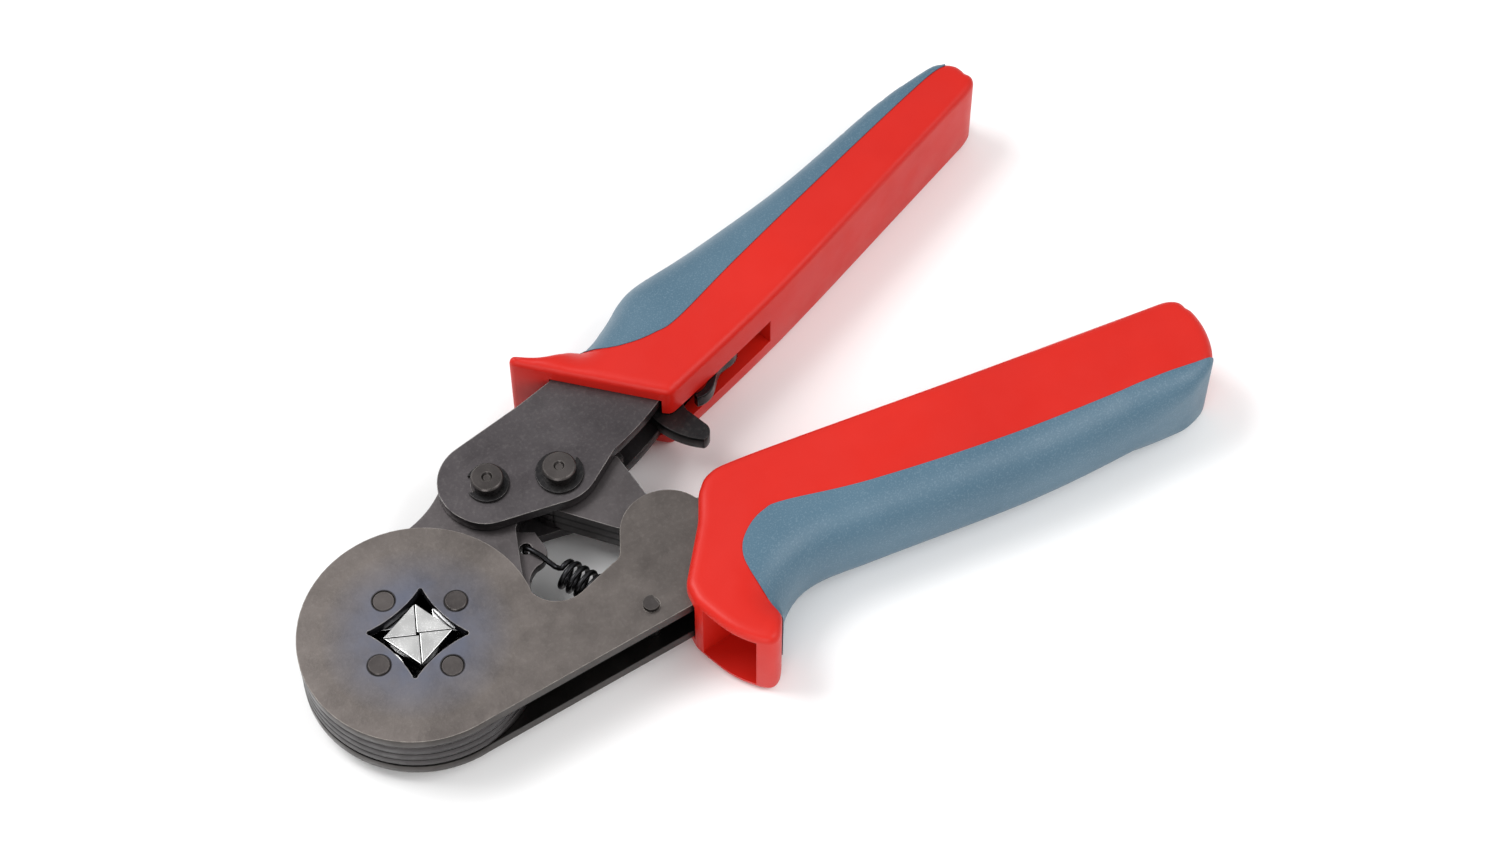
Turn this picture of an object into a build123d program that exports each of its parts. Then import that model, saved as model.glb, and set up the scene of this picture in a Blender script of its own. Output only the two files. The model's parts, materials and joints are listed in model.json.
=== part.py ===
from build123d import *
import math
import os

os.makedirs("parts", exist_ok=True)

# ---------------------------------------------------------------- driving dimensions (mm)
head_r = 21.0                  # round head of the frame plates
plate_t = 2.3                  # one steel plate
gap_half = 3.5                 # half the space between the two plates
face_z = gap_half + plate_t    # outer face of the steel plates
ring_half = 3.2                # half the laminated stack that runs in the gap
lamina_t = 2 * ring_half / 3
shell_half = 9.2               # half the thickness of the handle shells

# nest
nest_tilt = 9.0                # direction of the first die pin
die_pin_circle = 8.9
die_pin_r = 2.0
die_pin_proud = 0.35
star_tip = 8.8
star_tip_side = 8.3
star_tip_half = 0.45
star_waist = 5.5
seam_turn = 7.0                # turn of the die faces against the star
nest_half = 0.3                # half width of the open square nest
seam_gap = 0.14
nib_reach = 6.2
nib_half = face_z - 0.25
die_boss_r = 4.4
die_tail_half = 2.1
die_tail_reach = 16.8
running = 0.05

# pivots
link_pin_at = (26.3, 17.8)
link_pin_r = 2.95
toggle_pin_at = (37.9, 12.2)
toggle_pin_r = 3.05
toggle_open_clearance = 0.30
anchor_at = (57.0, -10.5)
anchor_pin_r = 2.4
pin_proud = 2.7
dimple_r = 1.0
dimple_depth = 0.5
clip_t = 0.5
clip_lift = 0.1
clip_groove = 0.45
clip_bands = (0.95, 1.3)
clip_mouth = 3.4
spring_eye_at = (25.7, 5.3)
spring_pin_at = (35.8, -19.1)
spring_pin_r = 1.5

# drive ring
ring_r = 20.95
ring_bore = 13.6
notch_half = die_tail_half + 0.35
notch_reach = 17.6

# ratchet
tooth_tip_r = 13.6
tooth_depth = 0.9
tooth_pitch = 4.0
tooth_count = 10
tooth_from = 6.0
pawl_half = 1.6
pawl_pivot_at = (63.0, 19.5)
pawl_pin_r = 1.6
pawl_gap = 0.3
rivet_r = 2.0
frame_rivets_at = [(78, -20.0), (113, -29.5)]
handle_rivets_at = [(90, 28.6), (116, 34.8)]


def polar(r, angle, at=(0, 0)):
    a = math.radians(angle)
    return (at[0] + r * math.cos(a), at[1] + r * math.sin(a))


def frame_outline():
    with BuildSketch() as sk:
        Circle(head_r)
        with BuildLine():
            Line((0, -head_r), (42, -23.4))
            Line((42, -23.4), (70, -25))
            Line((70, -25), (125, -35.5))
            ThreePointArc((125, -35.5), (129, -31.5), (126.5, -26.5))
            Line((126.5, -26.5), (60, -8))
            Line((60, -8), (56.6, -6.9))
            Line((56.6, -6.9), (54.6, -6.2))
            ThreePointArc((54.6, -6.2), (52.2, -2.4), (48.1, -0.4))
            ThreePointArc((48.1, -0.4), (43.6, -0.8), (39.9, -3.6))
            Line((39.9, -3.6), (37.6, -7.0))
            ThreePointArc((37.6, -7.0), (36.6, -8.0), (35.0, -8.4))
            Line((35.0, -8.4), (28.2, -9.8))
            ThreePointArc((28.2, -9.8), (23.2, -9.1), (20.4, -5.0))
            Line((20.4, -5.0), (0, 0))
            Line((0, 0), (0, -head_r))
        make_face()
    return sk.sketch


def turned(x, y, angle):
    a = math.radians(angle)
    return (x * math.cos(a) - y * math.sin(a), x * math.sin(a) + y * math.cos(a))


def star_outline():
    with BuildSketch() as sk:
        with BuildLine():
            for k in range(4):
                angle = nest_tilt + 45 + 90 * k
                near = turned(star_tip_side, -star_tip_half, angle)
                tip = turned(star_tip, 0, angle)
                far = turned(star_tip_side, star_tip_half, angle)
                after = turned(star_tip_side, -star_tip_half, angle + 90)
                ThreePointArc(near, tip, far)
                ThreePointArc(far, polar(star_waist, angle + 45), after)
        make_face()
    return sk.sketch


def handle_plate_outline():
    with BuildSketch() as sk:
        with BuildLine():
            Line((39.8, 28.3), (25.6, 27.2))
            ThreePointArc((25.6, 27.2), (18.6, 22.3), (18.7, 14.8))
            ThreePointArc((18.7, 14.8), (20.9, 11.7), (24.3, 10.0))
            Line((24.3, 10.0), (34.6, 7.0))
            ThreePointArc((34.6, 7.0), (38.4, 6.3), (42.3, 7.4))
            Line((42.3, 7.4), (48.6, 10.6))
            ThreePointArc((48.6, 10.6), (55.5, 12.3), (62.5, 15.0))
            Line((62.5, 15.0), (80, 20.5))
            Line((80, 20.5), (126, 33))
            ThreePointArc((126, 33), (128.6, 37.2), (124, 40))
            Line((124, 40), (75, 33))
            Line((75, 33), (39.8, 28.3))
        make_face()
    return sk.sketch


def ring_outline():
    with BuildSketch() as sk:
        Circle(ring_r)
        with BuildLine():
            Line((2, 20.6), (7, 19.7))
            ThreePointArc((7, 19.7), (13.6, 20.4), (20.4, 24.0))
            Line((20.4, 24.0), (22.6, 23.0))
            Line((22.6, 23.0), (31.6, 14.0))
            Line((31.6, 14.0), (26.0, 8.7))
            Line((26.0, 8.7), (22.4, 1.5))
            Line((22.4, 1.5), (20.4, -3))
            Line((20.4, -3), (0, 0))
            Line((0, 0), (2, 20.6))
        make_face()
        with Locations(link_pin_at):
            Circle(6.4)
    return sk.sketch


def ring_bore_outline():
    with BuildSketch() as sk:
        Circle(ring_bore)
        for k in range(4):
            angle = nest_tilt + 90 * k
            with Locations(Location(polar(notch_reach / 2, angle), angle)):
                Rectangle(notch_reach, 2 * notch_half)
        fillet(sk.vertices().filter_by(lambda v: math.hypot(v.X, v.Y) > notch_reach), 1.2)
        with Locations(link_pin_at):
            Circle(link_pin_r + running)
    return sk.sketch


def ring_lug_outline():
    with BuildSketch() as sk:
        with BuildLine():
            Line((25.0, 10.0), (28.9, 7.2))
            Line((28.9, 7.2), (28.8, 4.2))
            ThreePointArc((28.8, 4.2), (27.8, 1.9), (25.4, 1.2))
            ThreePointArc((25.4, 1.2), (22.6, -0.6), (21.6, -4.0))
            Line((21.6, -4.0), (20.0, -5.5))
            Line((20.0, -5.5), (18, 4))
            Line((18, 4), (25.0, 10.0))
        make_face()
    return sk.sketch


def toggle_outline():
    with BuildSketch() as sk:
        with Locations(toggle_pin_at):
            Circle(6.0)
        with Locations(anchor_at):
            Circle(4.4)
        with BuildLine():
            Line((33.6, 8.0), (40.6, -1.8))
            Line((40.6, -1.8), (54.6, -14.2))
            Line((54.6, -14.2), (60.6, -8.0))
            Line((60.6, -8.0), (57.8, -6.8))
            Line((57.8, -6.8), (48.7, 0.6))
            Line((48.7, 0.6), (49.0, 10.4))
            Line((49.0, 10.4), (42.0, 16.6))
            Line((42.0, 16.6), (33.6, 8.0))
        make_face()
    return sk.sketch


def ratchet_outline():
    tooth_to = tooth_from + tooth_pitch * tooth_count
    root_r = tooth_tip_r - tooth_depth
    points = [toggle_pin_at, polar(root_r, tooth_from - 12, toggle_pin_at)]
    for i in range(tooth_count):
        start = tooth_from + i * tooth_pitch
        points.append(polar(root_r, start, toggle_pin_at))
        points.append(polar(tooth_tip_r, start + 0.85 * tooth_pitch, toggle_pin_at))
    points.append(polar(root_r, tooth_to, toggle_pin_at))
    with BuildSketch() as sk:
        with BuildLine():
            Polyline(*points, close=True)
        make_face()
    return sk.sketch


def pawl_outline():
    nose_r = tooth_tip_r + pawl_gap
    with BuildSketch() as sk:
        with BuildLine():
            Line(polar(nose_r, 25, toggle_pin_at), polar(nose_r, 31, toggle_pin_at))
            Line(polar(nose_r, 31, toggle_pin_at), (62.0, 23.0))
            ThreePointArc((62.0, 23.0), (66.2, 21.4), (66.0, 17.0))
            Line((66.0, 17.0), (65.4, 12.1))
            Line((65.4, 12.1), (66.4, 7.8))
            ThreePointArc((66.4, 7.8), (66.1, 5.8), (64.2, 5.0))
            ThreePointArc((64.2, 5.0), (61.4, 8.4), (59.6, 13.0))
            Line((59.6, 13.0), (59.4, 16.2))
            Line((59.4, 16.2), polar(nose_r, 25, toggle_pin_at))
        make_face()
    return sk.sketch


def upper_shell_outline():
    with BuildSketch() as sk:
        with BuildLine():
            Polyline((43.9, 36.6), (42.5, 35.4), (62.6, 12.9))
            Spline((62.6, 12.9), (91.4, 19.1), (130.2, 30.0), (147.0, 34.9))
            ThreePointArc((147.0, 34.9), (150.2, 37.6), (148.6, 41.6))
            ThreePointArc((148.6, 41.6), (147.2, 43.0), (145.0, 43.3))
            Spline((145.0, 43.3), (132.3, 43.0), (106.0, 39.7), (82.4, 38.6), (70.2, 38.0),
                   (62.6, 34.4), (56.2, 32.0), (49.0, 32.8), (43.9, 36.6))
        make_face()
    return sk.sketch


def upper_grip_outline():
    with BuildSketch() as sk:
        with BuildLine():
            Spline((55.6, 30.6), (58.6, 27.6), (62.5, 25.8), (67.6, 24.9), (72.9, 25.1), (88.9, 29.4),
                   (114.8, 35.7), (140.7, 41.6), (147.6, 42.4))
            Polyline((147.6, 42.4), (152, 50), (54, 50), (55.6, 30.6))
        make_face()
    return sk.sketch


def lower_shell_outline():
    with BuildSketch() as sk:
        with BuildLine():
            Polyline((59.8, -4.3), (57.0, -4.9), (54.6, -6.8), (51.3, -11.4), (42.1, -20.6), (41.3, -24.4))
            Spline((41.3, -24.4), (43.2, -32.6), (46.6, -38.2))
            ThreePointArc((46.6, -38.2), (48.6, -38.8), (50.4, -37.4))
            Spline((50.4, -37.4), (55.8, -31.2), (64.0, -28.6), (77.0, -31.1), (106.8, -37.6),
                   (129.6, -40.4), (140.9, -40.8))
            Spline((140.9, -40.8), (148.4, -36.0), (151.2, -29.6), (146.6, -24.0))
            Spline((146.6, -24.0), (110.8, -15.7), (70.1, -6.3), (59.8, -4.3))
        make_face()
    return sk.sketch


def lower_grip_outline():
    with BuildSketch() as sk:
        with BuildLine():
            Spline((151, -38.6), (144, -37.9), (133.6, -35.4), (107.4, -30.3), (81.0, -23.1), (65.7, -17.4),
                   (61.6, -16.8), (57.7, -17.9), (54.2, -20.6), (52.6, -25.0), (52.3, -34.0))
            Polyline((52.3, -34.0), (52.3, -50), (152, -50), (151, -38.6))
        make_face()
    return sk.sketch


def upper_pocket_outline():
    with BuildSketch() as sk:
        with BuildLine():
            Polyline((36, 28.2), (75, 33.4), (124.4, 40.4), (129.2, 39.6), (129.8, 33.4), (80, 20.1),
                     (66.9, 16.0), (62.3, 14.3), (55.0, 11.6), (44, 8), (36, 28.2))
        make_face()
    return sk.sketch


def lower_pocket_outline():
    with BuildSketch() as sk:
        with BuildLine():
            Polyline((36, -2.0), (58.4, -5.7), (62.6, -6.0), (64.0, -8.6), (127.0, -26.0), (130.4, -28.6),
                     (130.0, -34.0), (125.4, -36.2), (70, -25.4), (36, -23.8), (36, -2.0))
        make_face()
    return sk.sketch


# ---------------------------------------------------------------- fixed frame
with BuildPart() as frame_plate_front:
    with BuildSketch(Plane.XY.offset(gap_half)):
        add(frame_outline())
        add(star_outline(), mode=Mode.SUBTRACT)
        for k in range(4):
            with Locations(polar(die_pin_circle, nest_tilt + 90 * k)):
                Circle(die_pin_r, mode=Mode.SUBTRACT)
        with Locations(anchor_at):
            Circle(anchor_pin_r, mode=Mode.SUBTRACT)
        with Locations(spring_pin_at):
            Circle(spring_pin_r, mode=Mode.SUBTRACT)
        with Locations(*frame_rivets_at):
            Circle(rivet_r, mode=Mode.SUBTRACT)
    extrude(amount=plate_t)
frame_plate_front.part.label = "frame_plate_front"
export_step(frame_plate_front.part, "parts/frame_plate_front.step")

with BuildPart() as frame_plate_back:
    with BuildSketch(Plane.XY.offset(-face_z)):
        add(frame_outline())
        add(star_outline(), mode=Mode.SUBTRACT)
        for k in range(4):
            with Locations(polar(die_pin_circle, nest_tilt + 90 * k)):
                Circle(die_pin_r, mode=Mode.SUBTRACT)
        with Locations(anchor_at):
            Circle(anchor_pin_r, mode=Mode.SUBTRACT)
        with Locations(spring_pin_at):
            Circle(spring_pin_r, mode=Mode.SUBTRACT)
        with Locations(*frame_rivets_at):
            Circle(rivet_r, mode=Mode.SUBTRACT)
    extrude(amount=plate_t)
frame_plate_back.part.label = "frame_plate_back"
export_step(frame_plate_back.part, "parts/frame_plate_back.step")

with BuildPart() as die_pivot_pins:
    for k in range(4):
        proud = die_pin_proud if k % 2 == 0 else 0
        with BuildSketch(Plane.XY.offset(-face_z - proud)):
            with Locations(polar(die_pin_circle, nest_tilt + 90 * k)):
                Circle(die_pin_r)
        extrude(amount=2 * (face_z + proud))
    chamfer(die_pivot_pins.edges().filter_by(GeomType.CIRCLE), 0.2)
die_pivot_pins.part.label = "die_pivot_pins"
export_step(die_pivot_pins.part, "parts/die_pivot_pins.step")

with BuildPart() as frame_spacer:
    with BuildSketch(Plane.XY.offset(-gap_half)):
        with BuildLine():
            Polyline((70, -13.2), (123, -27.6), (124, -33.8), (70, -23.6), close=True)
        make_face()
        with Locations(*frame_rivets_at):
            Circle(rivet_r, mode=Mode.SUBTRACT)
    extrude(amount=2 * gap_half)
frame_spacer.part.label = "frame_spacer"
export_step(frame_spacer.part, "parts/frame_spacer.step")

with BuildPart() as frame_rivets:
    with BuildSketch(Plane.XY.offset(-face_z)):
        with Locations(*frame_rivets_at):
            Circle(rivet_r)
    extrude(amount=2 * face_z)
frame_rivets.part.label = "frame_rivets"
export_step(frame_rivets.part, "parts/frame_rivets.step")

with BuildPart() as spring_anchor_pin:
    with BuildSketch(Plane.XY.offset(-face_z)):
        with Locations(spring_pin_at):
            Circle(spring_pin_r)
    extrude(amount=2 * face_z + 0.8)
    with BuildSketch(Plane.XY.offset(face_z)):
        with Locations((spring_pin_at[0] + 1.7, spring_pin_at[1])):
            Rectangle(1.4, 4)
    extrude(amount=1.0, mode=Mode.SUBTRACT)
spring_anchor_pin.part.label = "spring_anchor_pin"
export_step(spring_anchor_pin.part, "parts/spring_anchor_pin.step")

with BuildPart() as toggle_anchor_pin:
    with BuildSketch(Plane.XY.offset(-face_z)):
        with Locations(anchor_at):
            Circle(anchor_pin_r)
    extrude(amount=2 * face_z)
toggle_anchor_pin.part.label = "toggle_anchor_pin"
export_step(toggle_anchor_pin.part, "parts/toggle_anchor_pin.step")


# ---------------------------------------------------------------- handle shells and grips
pocket_half = face_z + 0.05
slot_low = -4.8
slot_high = 1.9
hollow_half = 7.4
moving_edge_round = 0.9
fixed_edge_round = 1.2

with BuildPart() as fixed_handle_shell:
    with BuildSketch(Plane.XY.offset(-shell_half)):
        add(lower_shell_outline())
    extrude(amount=2 * shell_half)
    fillet(fixed_handle_shell.edges().group_by(Axis.Z)[0] + fixed_handle_shell.edges().group_by(Axis.Z)[-1], fixed_edge_round)
    with BuildSketch(Plane.XY.offset(-shell_half)):
        add(lower_grip_outline())
    extrude(amount=2 * shell_half, mode=Mode.SUBTRACT)
    with BuildSketch(Plane.XY.offset(-pocket_half)):
        add(lower_pocket_outline())
    extrude(amount=2 * pocket_half, mode=Mode.SUBTRACT)
    with BuildSketch(Plane.XY.offset(-hollow_half)):
        with BuildLine():
            Polyline((36, -26.2), (50.4, -26.2), (50.4, -34.2), (47.4, -36.4), (40, -37.6), close=True)
        make_face()
    extrude(amount=2 * hollow_half, mode=Mode.SUBTRACT)
fixed_handle_shell.part.label = "fixed_handle_shell"
export_step(fixed_handle_shell.part, "parts/fixed_handle_shell.step")

with BuildPart() as fixed_handle_grip:
    with BuildSketch(Plane.XY.offset(-shell_half)):
        add(lower_shell_outline())
    extrude(amount=2 * shell_half)
    fillet(fixed_handle_grip.edges().group_by(Axis.Z)[0] + fixed_handle_grip.edges().group_by(Axis.Z)[-1], fixed_edge_round)
    with BuildSketch(Plane.XY.offset(-shell_half)):
        add(lower_grip_outline())
    extrude(amount=2 * shell_half, mode=Mode.INTERSECT)
    with BuildSketch(Plane.XY.offset(-pocket_half)):
        add(lower_pocket_outline())
    extrude(amount=2 * pocket_half, mode=Mode.SUBTRACT)
fixed_handle_grip.part.label = "fixed_handle_grip"
export_step(fixed_handle_grip.part, "parts/fixed_handle_grip.step")

with BuildPart() as moving_handle_shell:
    with BuildSketch(Plane.XY.offset(-shell_half)):
        add(upper_shell_outline())
    extrude(amount=2 * shell_half)
    fillet(moving_handle_shell.edges().group_by(Axis.Z)[0] + moving_handle_shell.edges().group_by(Axis.Z)[-1], moving_edge_round)
    with BuildSketch(Plane.XY.offset(-shell_half)):
        add(upper_grip_outline())
    extrude(amount=2 * shell_half, mode=Mode.SUBTRACT)
    with BuildSketch(Plane.XY.offset(-pocket_half)):
        add(upper_pocket_outline())
    extrude(amount=2 * pocket_half, mode=Mode.SUBTRACT)
    with BuildSketch(Plane.XY.offset(slot_low)):
        with BuildLine():
            Polyline((58, 5), (90, 14), (87.8, 23), (58, 23), close=True)
        make_face()
    extrude(amount=slot_high - slot_low, mode=Mode.SUBTRACT)
moving_handle_shell.part.label = "moving_handle_shell"
export_step(moving_handle_shell.part, "parts/moving_handle_shell.step")

with BuildPart() as moving_handle_grip:
    with BuildSketch(Plane.XY.offset(-shell_half)):
        add(upper_shell_outline())
    extrude(amount=2 * shell_half)
    fillet(moving_handle_grip.edges().group_by(Axis.Z)[0] + moving_handle_grip.edges().group_by(Axis.Z)[-1], moving_edge_round)
    with BuildSketch(Plane.XY.offset(-shell_half)):
        add(upper_grip_outline())
    extrude(amount=2 * shell_half, mode=Mode.INTERSECT)
    with BuildSketch(Plane.XY.offset(-pocket_half)):
        add(upper_pocket_outline())
    extrude(amount=2 * pocket_half, mode=Mode.SUBTRACT)
moving_handle_grip.part.label = "moving_handle_grip"
export_step(moving_handle_grip.part, "parts/moving_handle_grip.step")


# ---------------------------------------------------------------- drive ring
with BuildPart() as ring_plate_front:
    with BuildSketch(Plane.XY.offset(lamina_t / 2)):
        add(ring_outline())
        add(ring_bore_outline(), mode=Mode.SUBTRACT)
    extrude(amount=lamina_t)
ring_plate_front.part.label = "ring_plate_front"
export_step(ring_plate_front.part, "parts/ring_plate_front.step")

with BuildPart() as ring_plate_middle:
    with BuildSketch(Plane.XY.offset(-lamina_t / 2)):
        add(ring_outline())
        add(ring_lug_outline())
        add(ring_bore_outline(), mode=Mode.SUBTRACT)
        with Locations(spring_eye_at):
            Circle(1.1, mode=Mode.SUBTRACT)
    extrude(amount=lamina_t)
ring_plate_middle.part.label = "ring_plate_middle"
export_step(ring_plate_middle.part, "parts/ring_plate_middle.step")

with BuildPart() as ring_plate_back:
    with BuildSketch(Plane.XY.offset(-ring_half)):
        add(ring_outline())
        add(ring_bore_outline(), mode=Mode.SUBTRACT)
    extrude(amount=lamina_t)
ring_plate_back.part.label = "ring_plate_back"
export_step(ring_plate_back.part, "parts/ring_plate_back.step")


# ---------------------------------------------------------------- toggle link
with BuildPart() as toggle_plate_front:
    with BuildSketch(Plane.XY.offset(lamina_t / 2)):
        add(toggle_outline())
        with Locations(toggle_pin_at):
            Circle(toggle_pin_r + toggle_open_clearance, mode=Mode.SUBTRACT)
        with Locations(anchor_at):
            Circle(anchor_pin_r + running, mode=Mode.SUBTRACT)
    extrude(amount=lamina_t)
toggle_plate_front.part.label = "toggle_plate_front"
export_step(toggle_plate_front.part, "parts/toggle_plate_front.step")

with BuildPart() as toggle_plate_middle:
    with BuildSketch(Plane.XY.offset(-lamina_t / 2)):
        add(toggle_outline())
        add(ratchet_outline())
        with Locations(toggle_pin_at):
            Circle(toggle_pin_r + toggle_open_clearance, mode=Mode.SUBTRACT)
        with Locations(anchor_at):
            Circle(anchor_pin_r + running, mode=Mode.SUBTRACT)
    extrude(amount=lamina_t)
toggle_plate_middle.part.label = "toggle_plate_middle"
export_step(toggle_plate_middle.part, "parts/toggle_plate_middle.step")

with BuildPart() as toggle_plate_back:
    with BuildSketch(Plane.XY.offset(-ring_half)):
        add(toggle_outline())
        with Locations(toggle_pin_at):
            Circle(toggle_pin_r + toggle_open_clearance, mode=Mode.SUBTRACT)
        with Locations(anchor_at):
            Circle(anchor_pin_r + running, mode=Mode.SUBTRACT)
    extrude(amount=lamina_t)
toggle_plate_back.part.label = "toggle_plate_back"
export_step(toggle_plate_back.part, "parts/toggle_plate_back.step")


# ---------------------------------------------------------------- crimping dies
def die_wedge_outline(k):
    seam = nest_tilt - 45 + seam_turn + 90 * k
    back = -nest_half + seam_gap
    corners = [(back, nest_half), (nib_reach - nest_half, nest_half), (back, nib_reach + back)]
    with BuildSketch() as sk:
        with BuildLine():
            Polyline(*[turned(x, y, seam) for x, y in corners], close=True)
        make_face()
    return sk.sketch


def die_body_outline(k):
    angle = nest_tilt + 90 * k
    pin = polar(die_pin_circle, angle)
    tail = die_tail_reach - die_pin_circle
    with BuildSketch() as sk:
        add(die_wedge_outline(k))
        with Locations(pin):
            Circle(die_boss_r)
        with Locations(Location(polar(die_pin_circle + tail / 2, angle), angle)):
            Rectangle(tail, 2 * die_tail_half)
        with Locations(pin):
            Circle(die_pin_r + running, mode=Mode.SUBTRACT)
    return sk.sketch


with BuildPart() as crimp_die_1:
    with BuildSketch(Plane.XY.offset(-ring_half)):
        add(die_body_outline(0))
    extrude(amount=2 * ring_half)
    with BuildSketch(Plane.XY.offset(-nib_half)):
        add(die_wedge_outline(0))
    extrude(amount=2 * nib_half)
crimp_die_1.part.label = "crimp_die_1"
export_step(crimp_die_1.part, "parts/crimp_die_1.step")

with BuildPart() as crimp_die_2:
    with BuildSketch(Plane.XY.offset(-ring_half)):
        add(die_body_outline(1))
    extrude(amount=2 * ring_half)
    with BuildSketch(Plane.XY.offset(-nib_half)):
        add(die_wedge_outline(1))
    extrude(amount=2 * nib_half)
crimp_die_2.part.label = "crimp_die_2"
export_step(crimp_die_2.part, "parts/crimp_die_2.step")

with BuildPart() as crimp_die_3:
    with BuildSketch(Plane.XY.offset(-ring_half)):
        add(die_body_outline(2))
    extrude(amount=2 * ring_half)
    with BuildSketch(Plane.XY.offset(-nib_half)):
        add(die_wedge_outline(2))
    extrude(amount=2 * nib_half)
crimp_die_3.part.label = "crimp_die_3"
export_step(crimp_die_3.part, "parts/crimp_die_3.step")

with BuildPart() as crimp_die_4:
    with BuildSketch(Plane.XY.offset(-ring_half)):
        add(die_body_outline(3))
    extrude(amount=2 * ring_half)
    with BuildSketch(Plane.XY.offset(-nib_half)):
        add(die_wedge_outline(3))
    extrude(amount=2 * nib_half)
crimp_die_4.part.label = "crimp_die_4"
export_step(crimp_die_4.part, "parts/crimp_die_4.step")


# ---------------------------------------------------------------- moving handle steelwork
with BuildPart() as handle_plate_front:
    with BuildSketch(Plane.XY.offset(gap_half)):
        add(handle_plate_outline())
        with Locations(link_pin_at):
            Circle(link_pin_r, mode=Mode.SUBTRACT)
        with Locations(toggle_pin_at):
            Circle(toggle_pin_r, mode=Mode.SUBTRACT)
        with Locations(pawl_pivot_at):
            Circle(pawl_pin_r, mode=Mode.SUBTRACT)
        with Locations(*handle_rivets_at):
            Circle(rivet_r, mode=Mode.SUBTRACT)
    extrude(amount=plate_t)
handle_plate_front.part.label = "handle_plate_front"
export_step(handle_plate_front.part, "parts/handle_plate_front.step")

with BuildPart() as handle_plate_back:
    with BuildSketch(Plane.XY.offset(-face_z)):
        add(handle_plate_outline())
        with Locations(link_pin_at):
            Circle(link_pin_r, mode=Mode.SUBTRACT)
        with Locations(toggle_pin_at):
            Circle(toggle_pin_r, mode=Mode.SUBTRACT)
        with Locations(pawl_pivot_at):
            Circle(pawl_pin_r, mode=Mode.SUBTRACT)
        with Locations(*handle_rivets_at):
            Circle(rivet_r, mode=Mode.SUBTRACT)
    extrude(amount=plate_t)
handle_plate_back.part.label = "handle_plate_back"
export_step(handle_plate_back.part, "parts/handle_plate_back.step")


def pivot_pin(radius, at):
    top = face_z + pin_proud
    groove_low = face_z + clip_lift
    with BuildPart() as pin:
        with BuildSketch(Plane.XY.offset(-top)):
            with Locations(at):
                Circle(radius)
        extrude(amount=2 * top)
        chamfer(pin.edges().filter_by(GeomType.CIRCLE), 0.3)
        for level in (groove_low, -groove_low - clip_t):
            with BuildSketch(Plane.XY.offset(level)):
                with Locations(at):
                    Circle(radius + 1)
                    Circle(radius - clip_groove, mode=Mode.SUBTRACT)
            extrude(amount=clip_t, mode=Mode.SUBTRACT)
        with BuildSketch(Plane.XY.offset(top)):
            with Locations(at):
                Circle(dimple_r)
        extrude(amount=-dimple_depth, taper=35, mode=Mode.SUBTRACT)
    return pin.part


with BuildPart() as ring_link_pin:
    add(pivot_pin(link_pin_r, link_pin_at))
ring_link_pin.part.label = "ring_link_pin"
export_step(ring_link_pin.part, "parts/ring_link_pin.step")

with BuildPart() as toggle_link_pin:
    add(pivot_pin(toggle_pin_r, toggle_pin_at))
toggle_link_pin.part.label = "toggle_link_pin"
export_step(toggle_link_pin.part, "parts/toggle_link_pin.step")

with BuildPart() as retaining_clips:
    for level in (face_z + clip_lift, -face_z - clip_lift - clip_t):
        for radius, at, mouth, band in (
            (link_pin_r, link_pin_at, 150, clip_bands[0]),
            (toggle_pin_r, toggle_pin_at, 35, clip_bands[1]),
        ):
            with BuildSketch(Plane.XY.offset(level)):
                with Locations(at):
                    Circle(radius + band)
                    Circle(radius - clip_groove, mode=Mode.SUBTRACT)
                with Locations(Location(polar(radius + 1, mouth, at), mouth)):
                    Rectangle(2 * radius, clip_mouth, mode=Mode.SUBTRACT)
            extrude(amount=clip_t)
retaining_clips.part.label = "retaining_clips"
export_step(retaining_clips.part, "parts/retaining_clips.step")

with BuildPart() as pawl_spring:
    with BuildSketch(Plane.XY.offset(-pawl_half)):
        with BuildLine():
            Spline((68.4, 12.9), (72.6, 13.6), (76.0, 16.2), (79.0, 16.6), (81.0, 17.8))
            Polyline((81.0, 17.8), (80.6, 18.9), (78.6, 17.8))
            Spline((78.6, 17.8), (75.4, 17.4), (72.0, 14.8), (68.4, 14.0))
            Line((68.4, 14.0), (68.4, 12.9))
        make_face()
    extrude(amount=2 * pawl_half)
pawl_spring.part.label = "pawl_spring"
export_step(pawl_spring.part, "parts/pawl_spring.step")

with BuildPart() as pawl_pivot_pin:
    with BuildSketch(Plane.XY.offset(-face_z)):
        with Locations(pawl_pivot_at):
            Circle(pawl_pin_r)
    extrude(amount=2 * face_z)
pawl_pivot_pin.part.label = "pawl_pivot_pin"
export_step(pawl_pivot_pin.part, "parts/pawl_pivot_pin.step")

with BuildPart() as handle_spacer:
    with BuildSketch(Plane.XY.offset(-gap_half)):
        with BuildLine():
            Polyline((84, 22.5), (122, 32.9), (122, 38.8), (84, 33.6), close=True)
        make_face()
        with Locations(*handle_rivets_at):
            Circle(rivet_r, mode=Mode.SUBTRACT)
    extrude(amount=2 * gap_half)
handle_spacer.part.label = "handle_spacer"
export_step(handle_spacer.part, "parts/handle_spacer.step")

with BuildPart() as handle_rivets:
    with BuildSketch(Plane.XY.offset(-face_z)):
        with Locations(*handle_rivets_at):
            Circle(rivet_r)
    extrude(amount=2 * face_z)
handle_rivets.part.label = "handle_rivets"
export_step(handle_rivets.part, "parts/handle_rivets.step")

with BuildPart() as ratchet_pawl:
    with BuildSketch(Plane.XY.offset(-pawl_half)):
        add(pawl_outline())
        with Locations(pawl_pivot_at):
            Circle(pawl_pin_r + running, mode=Mode.SUBTRACT)
    extrude(amount=2 * pawl_half)
ratchet_pawl.part.label = "ratchet_pawl"
export_step(ratchet_pawl.part, "parts/ratchet_pawl.step")


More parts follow.
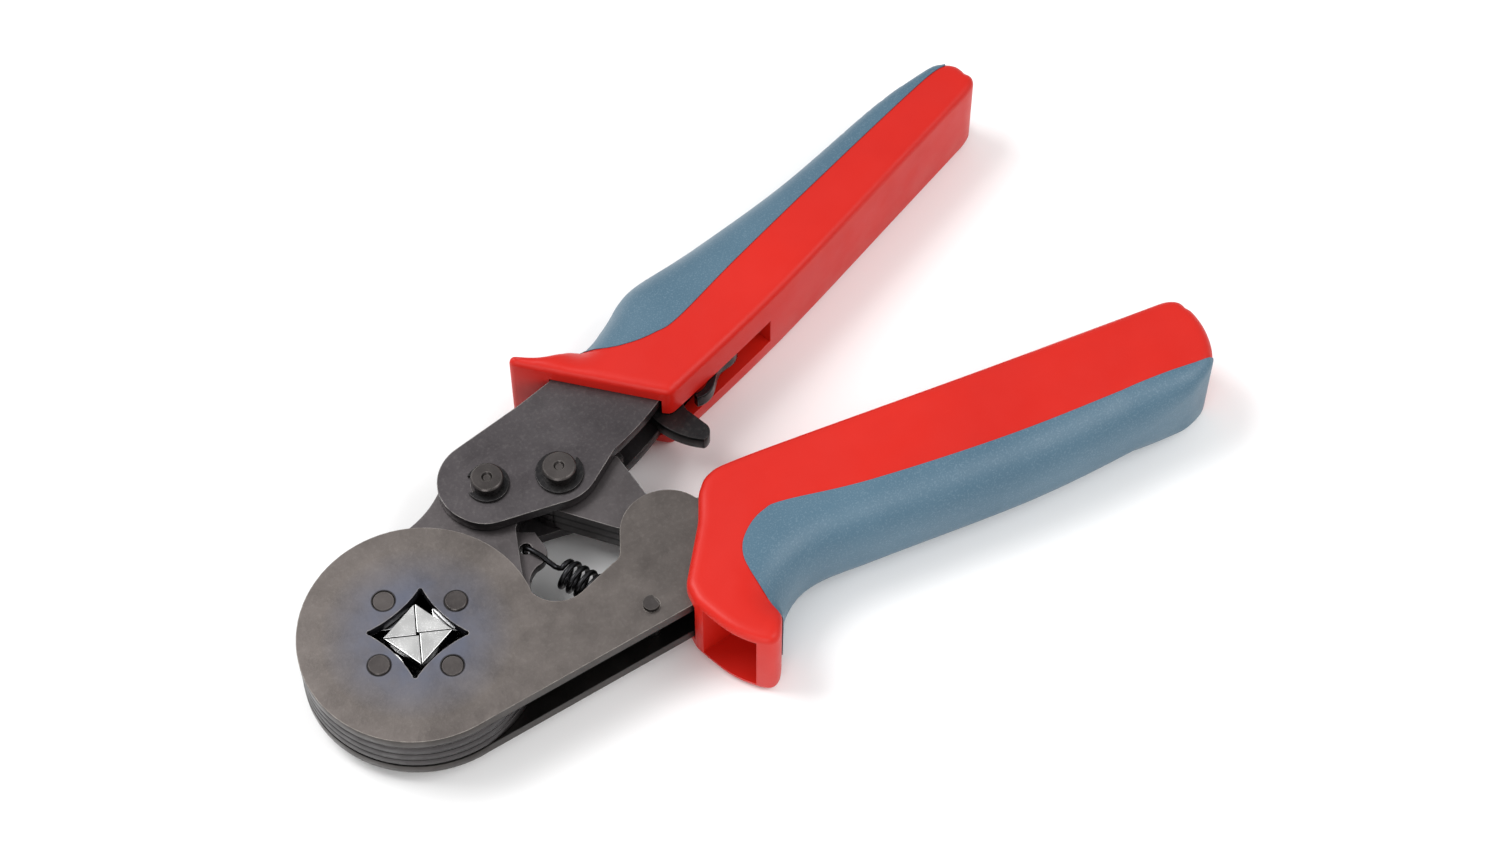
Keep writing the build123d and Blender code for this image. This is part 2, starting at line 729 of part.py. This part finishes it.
# ---------------------------------------------------------------- return spring
wire_r = 0.5
coil_r = 2.5
coil_pitch = 1.65
coil_from = 7.4
coil_turns = 7.0
hook_lift = lamina_t / 2 + wire_r + 0.15
knee_rise = 1.6
spring_dx = spring_pin_at[0] - spring_eye_at[0]
spring_dy = spring_pin_at[1] - spring_eye_at[1]
spring_len = math.hypot(spring_dx, spring_dy)
spring_dir = Vector(spring_dx, spring_dy, 0).normalized()
eye = Vector(spring_eye_at[0], spring_eye_at[1], 0)
coil_start = eye + spring_dir * coil_from
coil_length = coil_pitch * coil_turns
tail = eye + spring_dir * (spring_len - spring_pin_r - wire_r - 0.1)

with BuildPart() as return_spring:
    with BuildLine() as path:
        Helix(coil_pitch, coil_length, coil_r, center=tuple(coil_start), direction=tuple(spring_dir))
    start = path.line @ 0
    finish = path.line @ 1
    with BuildSketch(Plane(start, z_dir=path.line % 0)):
        Circle(wire_r)
    sweep(is_frenet=True)
    hook_high = Vector(eye.X, eye.Y, hook_lift)
    hook_low = Vector(eye.X, eye.Y, -hook_lift)
    knee = Vector(start.X, start.Y + knee_rise, hook_lift)
    for near, far in ((start, knee), (knee, hook_high), (hook_high, hook_low), (finish, tail)):
        with BuildSketch(Plane(near, z_dir=far - near)):
            Circle(wire_r)
        extrude(amount=(far - near).length)
        with Locations(near):
            Sphere(wire_r)
return_spring.part.label = "return_spring"
export_step(return_spring.part, "parts/return_spring.step")
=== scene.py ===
import json
import math

import bmesh
import bpy
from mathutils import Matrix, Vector
from mathutils.geometry import delaunay_2d_cdt


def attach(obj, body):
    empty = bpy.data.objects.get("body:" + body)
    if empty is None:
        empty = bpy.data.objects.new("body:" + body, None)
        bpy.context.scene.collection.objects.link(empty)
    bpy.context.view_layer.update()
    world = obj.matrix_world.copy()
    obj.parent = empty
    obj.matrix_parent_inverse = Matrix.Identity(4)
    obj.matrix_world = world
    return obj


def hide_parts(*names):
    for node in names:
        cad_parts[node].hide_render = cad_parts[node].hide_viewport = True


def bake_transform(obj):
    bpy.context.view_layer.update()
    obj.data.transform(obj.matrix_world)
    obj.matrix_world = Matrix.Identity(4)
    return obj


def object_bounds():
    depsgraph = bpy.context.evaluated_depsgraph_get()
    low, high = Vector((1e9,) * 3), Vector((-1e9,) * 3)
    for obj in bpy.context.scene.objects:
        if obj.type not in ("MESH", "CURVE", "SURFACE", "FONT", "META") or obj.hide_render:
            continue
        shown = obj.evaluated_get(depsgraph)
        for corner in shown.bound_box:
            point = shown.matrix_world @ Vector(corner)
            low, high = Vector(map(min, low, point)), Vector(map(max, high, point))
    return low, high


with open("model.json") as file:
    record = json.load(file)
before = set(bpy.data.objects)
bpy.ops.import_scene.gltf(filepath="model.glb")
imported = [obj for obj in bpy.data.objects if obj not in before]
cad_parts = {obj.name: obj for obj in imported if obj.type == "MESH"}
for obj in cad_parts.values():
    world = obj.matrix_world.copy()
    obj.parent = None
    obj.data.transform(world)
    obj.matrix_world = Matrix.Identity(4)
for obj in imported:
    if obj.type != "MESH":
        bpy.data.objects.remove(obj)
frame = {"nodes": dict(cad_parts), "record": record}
start_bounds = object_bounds()
MM = 0.001


# ------------------------------------------------------------------ materials
class Mat:
    """A principled material with a few shorthand node helpers."""

    def __init__(self, name):
        self.mat = bpy.data.materials.new(name)
        self.mat.use_nodes = True
        self.tree = self.mat.node_tree
        self.bsdf = self.tree.nodes["Principled BSDF"]
        self.coords = self.node("ShaderNodeTexCoord").outputs["Object"]

    def node(self, kind, **values):
        n = self.tree.nodes.new(kind)
        for key, value in values.items():
            setattr(n, key, value)
        return n

    def link(self, a, b):
        self.tree.links.new(a, b)

    def noise(self, scale, detail=4.0, rough=0.55, stretch=None):
        n = self.node("ShaderNodeTexNoise")
        n.inputs["Scale"].default_value = scale
        n.inputs["Detail"].default_value = detail
        n.inputs["Roughness"].default_value = rough
        src = self.coords
        if stretch:
            m = self.node("ShaderNodeMapping")
            m.inputs["Scale"].default_value = stretch
            m.inputs["Rotation"].default_value = (0, 0, 0.5)
            self.link(src, m.inputs["Vector"])
            src = m.outputs["Vector"]
        self.link(src, n.inputs["Vector"])
        return n.outputs["Fac"]

    def span(self, value, low, high, out_low=0.0, out_high=1.0):
        n = self.node("ShaderNodeMapRange")
        n.inputs["From Min"].default_value = low
        n.inputs["From Max"].default_value = high
        n.inputs["To Min"].default_value = out_low
        n.inputs["To Max"].default_value = out_high
        self.link(value, n.inputs["Value"])
        return n.outputs["Result"]

    def mix(self, fac, a, b):
        n = self.node("ShaderNodeMix", data_type="RGBA")
        self.link(fac, n.inputs["Factor"])
        for value, socket in ((a, n.inputs["A"]), (b, n.inputs["B"])):
            if isinstance(value, tuple):
                socket.default_value = (*value, 1.0)
            else:
                self.link(value, socket)
        return n.outputs["Result"]

    def math(self, op, a, b=None):
        n = self.node("ShaderNodeMath", operation=op)
        for value, socket in ((a, n.inputs[0]), (b, n.inputs[1])):
            if value is None:
                continue
            if isinstance(value, (int, float)):
                socket.default_value = value
            else:
                self.link(value, socket)
        return n.outputs["Value"]

    def away(self, value, centre):
        """How far a value is from a centre value."""
        return self.math("ABSOLUTE", self.math("SUBTRACT", value, centre))

    def bump(self, height, distance, strength=1.0, normal=None):
        n = self.node("ShaderNodeBump")
        n.inputs["Strength"].default_value = strength
        n.inputs["Distance"].default_value = distance
        self.link(height, n.inputs["Height"])
        if normal is not None:
            self.link(normal, n.inputs["Normal"])
        return n.outputs["Normal"]

    def radius_from(self, x, y):
        """Distance in the XY plane from a point, in metres."""
        sub = self.node("ShaderNodeVectorMath", operation="SUBTRACT")
        self.link(self.coords, sub.inputs[0])
        sub.inputs[1].default_value = (x, y, 0)
        flat = self.node("ShaderNodeVectorMath", operation="MULTIPLY")
        self.link(sub.outputs["Vector"], flat.inputs[0])
        flat.inputs[1].default_value = (1, 1, 0)
        length = self.node("ShaderNodeVectorMath", operation="LENGTH")
        self.link(flat.outputs["Vector"], length.inputs[0])
        return length.outputs["Value"]

    def worn_edge(self, radius):
        """1 on convex edges, 0 on flats."""
        bevel = self.node("ShaderNodeBevel", samples=6)
        bevel.inputs["Radius"].default_value = radius
        geo = self.node("ShaderNodeNewGeometry")
        dot = self.node("ShaderNodeVectorMath", operation="DOT_PRODUCT")
        self.link(bevel.outputs["Normal"], dot.inputs[0])
        self.link(geo.outputs["Normal"], dot.inputs[1])
        return self.span(dot.outputs["Value"], 0.985, 0.88)

    def finish(self, color, rough, metallic, normal=None):
        for value, key in ((color, "Base Color"), (rough, "Roughness"), (normal, "Normal")):
            if value is None:
                continue
            if isinstance(value, tuple):
                self.bsdf.inputs[key].default_value = (*value, 1.0)
            elif isinstance(value, (int, float)):
                self.bsdf.inputs[key].default_value = value
            else:
                self.link(value, self.bsdf.inputs[key])
        self.bsdf.inputs["Metallic"].default_value = metallic
        return self.mat


# Near black: painted shade on the inner faces between the plates, and the colour of the dark lamination
# joints.
GAP_SHADE_AND_JOINT_BLACK = (0.004, 0.004, 0.004)
HEAT_BLUE = (0.115, 0.125, 0.165)
LAMINATION_JOINTS = (0.00107, 0.00335)
DIE_PIN_CIRCLE = 0.0089
DIE_PIN_RIM = 0.00205
DIE_PINS = [
    (DIE_PIN_CIRCLE * math.cos(math.radians(a)), DIE_PIN_CIRCLE * math.sin(math.radians(a)))
    for a in (9, 99, 189, 279)
]


def steel(name, dark, light, worn, rough, edge=0.00035, metallic=0.9, heat_tint_and_gap_shade=False, rings=()):
    """Blackened steel. Optionally it also adds the blue halo round the nest and painted shade that turns
    the inner faces, between the plates, nearly black.
    """
    m = Mat(name)
    broad = m.span(m.noise(90, 5), 0.3, 0.7)
    color = m.mix(broad, dark, light)
    fine = m.noise(1400, 3, 0.6)
    grain = m.noise(900, 3, 0.6, stretch=(1, 14, 1))
    color = m.mix(m.math("MULTIPLY", m.span(fine, 0.5, 0.8), 0.1), color, worn)
    if heat_tint_and_gap_shade:
        halo = m.span(m.radius_from(0, 0), 0.008, 0.017, 1.0, 0.0)
        halo = m.math("MULTIPLY", halo, m.span(m.noise(160, 4), 0.2, 0.6, 0.35, 0.9))
        color = m.mix(halo, color, HEAT_BLUE)
    edges = m.math("MULTIPLY", m.worn_edge(edge), m.span(m.noise(500, 4), 0.3, 0.62))
    color = m.mix(edges, color, worn)
    apart = m.node("ShaderNodeSeparateXYZ")
    m.link(m.coords, apart.inputs["Vector"])
    up = m.node("ShaderNodeSeparateXYZ")
    m.link(m.node("ShaderNodeNewGeometry").outputs["Normal"], up.inputs["Vector"])
    # Painted shade: faces that stand on edge, the side walls of the plates, are darkened towards near
    # black.
    side = m.span(m.math("ABSOLUTE", up.outputs["Z"]), 0.75, 0.45)
    color = m.mix(m.math("MULTIPLY", side, 0.62), color, (0.012, 0.011, 0.011))
    height = m.math("ABSOLUTE", apart.outputs["Z"])
    # Painted shade: faces within 3.6 mm of the middle, in the gap between the plates, go most of the way
    # to black.
    if heat_tint_and_gap_shade:
        color = m.mix(m.span(height, 0.0038, 0.0036, 0.0, 0.85), color, GAP_SHADE_AND_JOINT_BLACK)
    for joint in LAMINATION_JOINTS:
        line = m.span(m.away(height, joint), 0.00038, 0.00022)
        color = m.mix(m.math("MULTIPLY", line, side), color, GAP_SHADE_AND_JOINT_BLACK)
    for x, y in rings:
        rim = m.span(m.away(m.radius_from(x, y), DIE_PIN_RIM), 0.00022, 0.0001)
        color = m.mix(m.math("MULTIPLY", rim, 0.85), color, (0.01, 0.009, 0.009))
    level = m.span(m.noise(220, 5), 0.3, 0.7, rough - 0.07, rough + 0.09)
    normal = m.bump(grain, 0.00002, 0.35)
    normal = m.bump(fine, 0.00003, 0.4, normal)
    return m.finish(color, level, metallic, normal)


def plastic(name, base, deep, scuff, rough, grain_scale, grain_depth, speckle=0.0):
    m = Mat(name)
    color = m.mix(m.span(m.noise(35, 4), 0.3, 0.7), deep, base)
    marks = m.span(m.noise(260, 6, 0.7, stretch=(1, 9, 2)), 0.66, 0.78)
    color = m.mix(m.math("MULTIPLY", marks, 0.22), color, scuff)
    grain = m.noise(grain_scale, 2, 0.5)
    if speckle:
        color = m.mix(m.math("MULTIPLY", m.span(grain, 0.52, 0.68), speckle), color, scuff)
    level = m.span(m.noise(120, 5), 0.3, 0.7, rough - 0.05, rough + 0.08)
    normal = m.bump(grain, grain_depth, 0.6)
    return m.finish(color, level, 0.0, normal)


plate_steel = steel(
    "plate_steel", (0.105, 0.092, 0.086), (0.165, 0.145, 0.135), (0.40, 0.37, 0.34), 0.36,
    heat_tint_and_gap_shade=True, rings=DIE_PINS,
)
handle_steel = steel(
    "handle_steel", (0.072, 0.064, 0.068), (0.105, 0.096, 0.10), (0.40, 0.38, 0.36), 0.38,
)
link_steel = steel(
    "link_steel", (0.09, 0.08, 0.082), (0.13, 0.118, 0.12), (0.36, 0.34, 0.33), 0.38,
)
dark_steel = steel(
    "dark_steel", (0.018, 0.018, 0.02), (0.04, 0.038, 0.038), (0.30, 0.28, 0.26), 0.34, edge=0.0002,
)
pin_steel = steel(
    "pin_steel", (0.055, 0.049, 0.048), (0.095, 0.085, 0.082), (0.20, 0.185, 0.17), 0.32,
)
die_steel = steel(
    "die_steel", (0.70, 0.70, 0.70), (0.86, 0.86, 0.85), (0.95, 0.95, 0.95), 0.20, metallic=1.0,
)
spring_steel = steel(
    "spring_steel", (0.015, 0.015, 0.017), (0.03, 0.03, 0.032), (0.2, 0.19, 0.18), 0.3, edge=0.0001,
)
red_plastic = plastic(
    "red_plastic", (0.56, 0.012, 0.005), (0.50, 0.009, 0.004), (0.75, 0.10, 0.06), 0.40, 2600, 0.00002,
)
red_plastic.node_tree.nodes["Principled BSDF"].inputs["Specular IOR Level"].default_value = 0.3
blue_grip = plastic(
    "blue_grip", (0.066, 0.136, 0.192), (0.052, 0.114, 0.166), (0.18, 0.26, 0.32), 0.4, 3400, 0.00006,
    speckle=0.3,
)

BY_SLOT = {
    "plate_steel": plate_steel,
    "bright_steel": die_steel,
    "pin_steel": pin_steel,
    "dark_steel": dark_steel,
    "spring_steel": spring_steel,
    "red_plastic": red_plastic,
    "blue_grip": blue_grip,
}
BY_NAME = {"handle_plate": handle_steel, "ring_plate": link_steel, "toggle_plate": link_steel}


def set_material(obj, mat):
    """Gives an object a single material."""
    obj.data.materials.clear()
    obj.data.materials.append(mat)


slots = {s["node"]: s["material_slot"] for s in frame["record"]["subparts"]}
for name, obj in frame["nodes"].items():
    set_material(obj, BY_NAME.get(name.rsplit("_", 1)[0], BY_SLOT[slots[name]]))
    if "grip" in name or "shell" in name:
        continue
    weld = obj.modifiers.new("weld", "WELD")
    weld.merge_threshold = 0.000005
    bevel = obj.modifiers.new("bevel", "BEVEL")
    bevel.width = 0.00014
    if "plate" in name:
        bevel.width = 0.0003 if "ring_plate" in name else 0.00022
    bevel.segments = 2
    bevel.limit_method = "ANGLE"
    bevel.angle_limit = math.radians(38)
    bevel.harden_normals = True


# ------------------------------------------------------------------ handle shells
def curve(points, steps=9):
    """Points along a smooth curve through the given ones, without the last."""
    out = []
    for i in range(len(points) - 1):
        p0 = points[max(i - 1, 0)]
        p1, p2 = points[i], points[i + 1]
        p3 = points[min(i + 2, len(points) - 1)]
        for s in range(steps):
            t = s / steps
            out.append(tuple(
                0.5 * (2 * b + (c - a) * t
                       + (2 * a - 5 * b + 4 * c - d) * t * t
                       + (3 * b - a - 3 * c + d) * t ** 3)
                for a, b, c, d in zip(p0, p1, p2, p3)
            ))
    return out


def resample(points, step):
    """Evenly spaced points round a closed outline."""
    pts = [Vector(p) for p in points]
    pts.append(pts[0])
    out = [pts[0].copy()]
    carry = 0.0
    for a, b in zip(pts, pts[1:]):
        length = (b - a).length
        at = step - carry
        while at < length:
            out.append(a.lerp(b, at / length))
            at += step
        carry = length - (at - step)
    if (out[-1] - out[0]).length < step * 0.5:
        out.pop()
    return out


def relax(points, rounds):
    """The outline with its corners softened."""
    for _ in range(rounds):
        n = len(points)
        points = [(points[i - 1] + points[i] * 2 + points[(i + 1) % n]) / 4 for i in range(n)]
    return points


def distance_to(p, line):
    """Distance from a point to the nearest part of an open line."""
    best = 1e9
    for a, b in zip(line, line[1:]):
        d = b - a
        t = max(0.0, min(1.0, (p - a).dot(d) / max(d.length_squared, 1e-12)))
        best = min(best, (p - a - d * t).length)
    return best


def fall(d, r):
    """How far a quarter round of radius r has dropped at distance d from the edge."""
    return 0.0 if d >= r else r - math.sqrt(max(0.0, r * r - (r - d) ** 2))


OUTLINE_STEP = 0.6
DEPTHS = (0.12, 0.4, 0.8, 1.4, 2.2, 3.2, 4.4, 5.8, 7.4)
CELL = 0.35
TIP_X = 145
TIP_SHARPENING = 0.74
THINNEST = 0.6


def rounded_slab(name, outline, is_outer, half, outer_r, inner_r, tighter_from, grow=0.0):
    """A slab of the given outline in mm. Its outer side is rolled over, its other edges are only eased.

    From x = tighter_from to the tip, the rolled side gets a smaller radius.
    """
    border = relax(resample(outline, OUTLINE_STEP), 3)
    n = len(border)
    turning = sum(border[i].cross(border[(i + 1) % n]) for i in range(n))
    if turning < 0:
        border.reverse()
    normals = []
    for i in range(n):
        t = (border[(i + 1) % n] - border[i - 1]).normalized()
        normals.append(Vector((-t.y, t.x)))
    border = [p - q * grow for p, q in zip(border, normals)]
    flags = [is_outer(p) for p in border]
    outer, inner = [], []
    for i in range(n):
        (outer if flags[i] else inner).append((border[i], border[(i + 1) % n]))

    def nearest(p, pairs):
        return min((distance_to(p, pair) for pair in pairs), default=1e9)

    inside = []
    for depth in DEPTHS:
        step = 1 if depth < 1.0 else 2
        for i in range(0, n, step):
            p = border[i] + normals[i] * depth
            if min(nearest(p, outer), nearest(p, inner)) > depth * 0.93:
                inside.append(p)
    cells = {}
    for p in inside:
        cells.setdefault((round(p.x / CELL), round(p.y / CELL)), p)
    kept = list(cells.values())
    verts = border + kept
    edges = [(i, (i + 1) % n) for i in range(n)]
    result = delaunay_2d_cdt(verts, edges, [], 1, 1e-6)
    flat, faces = result[0], result[2]
    height = []
    for p in flat:
        d_out = nearest(p, outer)
        d_in = nearest(p, inner)
        along = max(0.0, min(1.0, (p.x - tighter_from) / (TIP_X - tighter_from)))
        roll = outer_r * (1 - TIP_SHARPENING * along)
        height.append(max(THINNEST, half - fall(d_out, roll) - fall(d_in, inner_r)))
    bm = bmesh.new()
    top = [bm.verts.new((p.x * MM, p.y * MM, h * MM)) for p, h in zip(flat, height)]
    low = [bm.verts.new((p.x * MM, p.y * MM, -h * MM)) for p, h in zip(flat, height)]
    for f in faces:
        bm.faces.new([top[i] for i in f])
        bm.faces.new([low[i] for i in reversed(f)])
    rim = {}
    for f in faces:
        for a, b in zip(f, f[1:] + f[:1]):
            rim[(a, b)] = rim.get((a, b), 0) + 1
    for (a, b) in rim:
        if (b, a) not in rim:
            bm.faces.new([top[b], top[a], low[a], low[b]])
    bmesh.ops.recalc_face_normals(bm, faces=bm.faces)
    mesh = bpy.data.meshes.new(name)
    bm.to_mesh(mesh)
    bm.free()
    obj = bpy.data.objects.new(name, mesh)
    bpy.context.scene.collection.objects.link(obj)
    return obj


def prism(points, low, high):
    """A plain block of the given outline, used to cut with."""
    bm = bmesh.new()
    bottom = [bm.verts.new((x * MM, y * MM, low * MM)) for x, y in points]
    top = [bm.verts.new((x * MM, y * MM, high * MM)) for x, y in points]
    bm.faces.new(bottom)
    bm.faces.new(top)
    n = len(points)
    for i in range(n):
        j = (i + 1) % n
        bm.faces.new([bottom[i], bottom[j], top[j], top[i]])
    bmesh.ops.recalc_face_normals(bm, faces=bm.faces)
    mesh = bpy.data.meshes.new("cutter")
    bm.to_mesh(mesh)
    bm.free()
    obj = bpy.data.objects.new("cutter", mesh)
    bpy.context.scene.collection.objects.link(obj)
    return obj


def carve(obj, steps):
    """Applies boolean steps, each an operation and its cutter."""
    cutters = []
    for operation, cutter in steps:
        mod = obj.modifiers.new("cut", "BOOLEAN")
        mod.operation = operation
        mod.solver = "EXACT"
        mod.object = cutter
        cutters.append(cutter)
    graph = bpy.context.evaluated_depsgraph_get()
    mesh = bpy.data.meshes.new_from_object(obj.evaluated_get(graph))
    obj.modifiers.clear()
    obj.data = mesh
    for cutter in cutters:
        bpy.data.objects.remove(cutter)


def ease(obj):
    """Smooth shading with a small bevel on the sharp edges."""
    for p in obj.data.polygons:
        p.use_smooth = True
    bevel = obj.modifiers.new("ease", "BEVEL")
    bevel.width = 0.0004
    bevel.segments = 3
    bevel.limit_method = "ANGLE"
    bevel.angle_limit = math.radians(40)
    bevel.harden_normals = True
    obj.data.set_sharp_from_angle(angle=math.radians(40))


# Handle outlines in mm. Each curve leaves out its last point, which is the first of the next stretch.
UPPER = (
    [(43.9, 36.6), (42.5, 35.4)]
    + curve([(62.4, 12.6), (91.4, 19.1), (130.2, 30.0), (147.4, 34.9)])
    + curve([(147.4, 34.9), (150.0, 36.4), (150.3, 39.2), (149.0, 42.6), (145.6, 44.2)])
    + curve([
        (145.6, 44.2), (132.3, 43.7), (106.0, 39.9), (82.4, 38.6), (70.2, 38.0), (62.6, 34.4),
        (56.2, 32.0), (49.0, 32.8), (43.9, 36.6),
    ])
)
LOWER = (
    [(59.8, -4.3), (57.0, -4.9), (54.6, -6.8), (51.3, -11.4), (42.1, -20.6)]
    + curve([
        (41.3, -24.4), (43.2, -32.6), (46.6, -38.2), (48.6, -38.8), (50.4, -37.4), (55.8, -31.2),
        (64.0, -28.6), (77.0, -31.1), (106.8, -37.6), (129.6, -40.4), (140.0, -40.9),
    ])
    + curve([
        (140.0, -40.9), (146.0, -38.6), (149.2, -33.0), (149.8, -27.0), (147.8, -24.2), (145.0, -23.3),
    ])
    + curve([(145.0, -23.3), (110.8, -15.7), (70.1, -6.3), (59.8, -4.3)])
)

# The soft grip is what lies inside the seam outline, the hard shell what lies outside it.
UPPER_SEAM = curve([
    (54.6, 32.6), (58.6, 27.8), (62.5, 25.8), (67.6, 24.9), (72.9, 25.1), (88.9, 29.4), (114.8, 35.7),
    (140.7, 41.6), (147.6, 42.4),
]) + [(147.6, 42.4), (156, 52), (52, 52), (52, 36)]
LOWER_SEAM = curve([
    (151, -38.6), (144, -37.9), (133.6, -35.4), (107.4, -30.3), (81.0, -23.1), (65.7, -17.4),
    (61.6, -16.8), (57.7, -17.9), (54.2, -20.6), (52.6, -25.0), (52.3, -34.0),
]) + [(52.3, -34.0), (52.3, -52), (156, -52)]

# Hollows for the steelwork, the slot of the moving handle and the hollow of the guard.
UPPER_POCKET = [
    (36, 28.2), (75, 33.4), (124.4, 40.4), (129.2, 39.6), (129.8, 33.4), (80, 20.1), (66.9, 16.0),
    (62.3, 14.3), (55, 11.6), (44, 8),
]
LOWER_POCKET = [
    (36, -2.0), (58.4, -5.7), (62.6, -6.0), (64.0, -8.6), (127.0, -26.0), (130.4, -28.6),
    (130.0, -34.0), (125.4, -36.2), (70, -25.4), (36, -23.8),
]
UPPER_SLOT = [(58, 5), (90, 14), (87.8, 23), (58, 23)]
UPPER_SLOT_LOW, UPPER_SLOT_HIGH = -4.8, 1.9
GUARD_HOLLOW = [(36, -26.2), (50.4, -26.2), (50.4, -34.2), (47.4, -36.4), (40, -37.6)]
GUARD_HALF = 7.4
SHELL_HALF = 9.2
POCKET_HALF = 5.86
SEAM_CUT_HALF = 20
ROLL_R = 8.0
EASED_R = 1.5
GRIP_PROUD = 0.2
GRIP_EASED_R = 1.6


def upper_outer(p):
    """Whether a point is on the moving handle's rolled side, which faces away from the other handle."""
    return p.y > 0.15 * p.x + 16.6 and p.x > 56.5


def lower_outer(p):
    """Whether a point is on the fixed handle's rolled side."""
    return p.x > 54.5 and p.y < -27.5


def make_handle(label, body, outline, outer, tighter_from, seam, pocket, opening):
    """A hard shell and a soft grip from one outline, parted along the seam."""
    shell = rounded_slab(
        label + "_shell_red", outline, outer, SHELL_HALF, ROLL_R, EASED_R, tighter_from,
    )
    carve(shell, [
        ("DIFFERENCE", prism(pocket, -POCKET_HALF, POCKET_HALF)),
        ("DIFFERENCE", prism(seam, -SEAM_CUT_HALF, SEAM_CUT_HALF)),
        ("DIFFERENCE", prism(*opening)),
    ])
    grip = rounded_slab(
        label + "_grip_blue", outline, outer, SHELL_HALF + GRIP_PROUD, ROLL_R + GRIP_PROUD, GRIP_EASED_R,
        tighter_from, grow=GRIP_PROUD,
    )
    carve(grip, [
        ("INTERSECT", prism(seam, -SEAM_CUT_HALF, SEAM_CUT_HALF)),
        ("DIFFERENCE", prism(pocket, -POCKET_HALF, POCKET_HALF)),
    ])
    for obj, mat, node, slot in (
        (shell, red_plastic, label + "_handle_shell", "red_plastic"),
        (grip, blue_grip, label + "_handle_grip", "blue_grip"),
    ):
        ease(obj)
        set_material(obj, mat)
        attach(obj, body)
        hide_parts(node)


make_handle(
    "moving", "moving_handle", UPPER, upper_outer, 85, UPPER_SEAM, UPPER_POCKET,
    (UPPER_SLOT, UPPER_SLOT_LOW, UPPER_SLOT_HIGH),
)
make_handle(
    "fixed", "fixed_frame", LOWER, lower_outer, 128, LOWER_SEAM, LOWER_POCKET,
    (GUARD_HOLLOW, -GUARD_HALF, GUARD_HALF),
)


# ------------------------------------------------------------------ return spring
SPRING_EYE = Vector((25.7, 5.3, 0))
SPRING_PIN = Vector((35.8, -19.1, 0))
WIRE_R = 0.5
COIL_FROM = 7.6
COIL_TURNS = 8
COIL_PITCH = 1.65
COIL_R = 2.5
STEPS_PER_TURN = 20


def spring_path():
    """The wire in mm: a hook over the ring's lug, a straight leg, the coil and the leg to its pin."""
    along = (SPRING_PIN - SPRING_EYE).normalized()
    length = (SPRING_PIN - SPRING_EYE).length
    side = Vector((along.y, -along.x, 0))
    up = Vector((0, 0, 1))
    hook = [(0.5, -1.6), (-0.1, -1.3), (-0.3, 0), (-0.1, 1.3), (0.9, 1.7), (3.2, 1.65)]
    leg = [(4.6, 0.9), (6.2, 0.3), (7.0, 0.6)]
    pts = [SPRING_EYE + along * a + up * u for a, u in hook + leg]
    for i in range(COIL_TURNS * STEPS_PER_TURN + 1):
        a = math.radians(90 + 360 / STEPS_PER_TURN * i)
        at = COIL_FROM + COIL_PITCH * i / STEPS_PER_TURN
        reach = COIL_R * min(1.0, 0.45 + i / 9)
        pts.append(SPRING_EYE + along * at + (side * math.cos(a) + up * math.sin(a)) * reach)
    coil_to = COIL_FROM + COIL_TURNS * COIL_PITCH
    tail = [(coil_to + 1.6, 0.8), (length - 3.4, 0), (length - 2.2, 0)]
    return pts + [SPRING_EYE + along * a + up * u for a, u in tail]


def make_spring():
    pts = spring_path()
    data = bpy.data.curves.new("return_spring_wire", "CURVE")
    data.dimensions = "3D"
    spline = data.splines.new("POLY")
    spline.points.add(len(pts) - 1)
    for sp, p in zip(spline.points, pts):
        sp.co = (p.x * MM, p.y * MM, p.z * MM, 1)
    data.bevel_depth = WIRE_R * MM
    data.bevel_resolution = 4
    data.use_fill_caps = True
    temp = bpy.data.objects.new("temp", data)
    bpy.context.scene.collection.objects.link(temp)
    graph = bpy.context.evaluated_depsgraph_get()
    mesh = bpy.data.meshes.new_from_object(temp.evaluated_get(graph))
    bpy.data.objects.remove(temp)
    obj = bpy.data.objects.new("return_spring_wire", mesh)
    bpy.context.scene.collection.objects.link(obj)
    for p in mesh.polygons:
        p.use_smooth = True
    set_material(obj, spring_steel)
    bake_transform(obj)
    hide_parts("return_spring")


make_spring()


# ------------------------------------------------------------------ stage, light, camera
floor_mat = Mat("floor")
tone = floor_mat.mix(floor_mat.noise(4, 3), (0.90, 0.90, 0.90), (0.93, 0.93, 0.93))
floor_mat.finish(tone, 0.75, 0.0)
bpy.ops.mesh.primitive_plane_add(size=6, location=(0.07, 0, start_bounds[0][2] - 0.0001))
floor = bpy.context.object
floor.name = "floor"
set_material(floor, floor_mat.mat)

world = bpy.data.worlds.new("studio")
bpy.context.scene.world = world
world.use_nodes = True
world.node_tree.nodes["Background"].inputs["Color"].default_value = (1, 1, 1, 1)
world.node_tree.nodes["Background"].inputs["Strength"].default_value = 0.62


def area(name, at, aim, size, power):
    """A square area light of the given size, aimed at a point."""
    data = bpy.data.lights.new(name, "AREA")
    data.size = size
    data.energy = power
    obj = bpy.data.objects.new(name, data)
    obj.location = at
    obj.rotation_euler = (Vector(aim) - Vector(at)).to_track_quat("-Z", "Y").to_euler()
    bpy.context.scene.collection.objects.link(obj)


area("key", (-0.25, 0.45, 0.75), (0.07, 0, 0), 0.5, 6)
area("fill", (0.45, -0.5, 0.7), (0.07, 0, 0), 0.6, 3.4)
area("front", (-0.5, -0.45, 0.35), (0.05, 0, 0), 0.4, 1.6)

CAMERA_AT = Vector((-0.1153, -0.2561, 0.5149))
CAMERA_LOOK = Vector((0.3113, 0.4284, -0.8483))
cam_data = bpy.data.cameras.new("camera")
cam_data.lens = 80.4
cam_data.sensor_width = 36
cam = bpy.data.objects.new("camera", cam_data)
cam.location = CAMERA_AT
cam.rotation_euler = CAMERA_LOOK.to_track_quat("-Z", "Y").to_euler()
bpy.context.scene.collection.objects.link(cam)
bpy.context.scene.camera = cam
bpy.context.scene.view_settings.view_transform = "Standard"
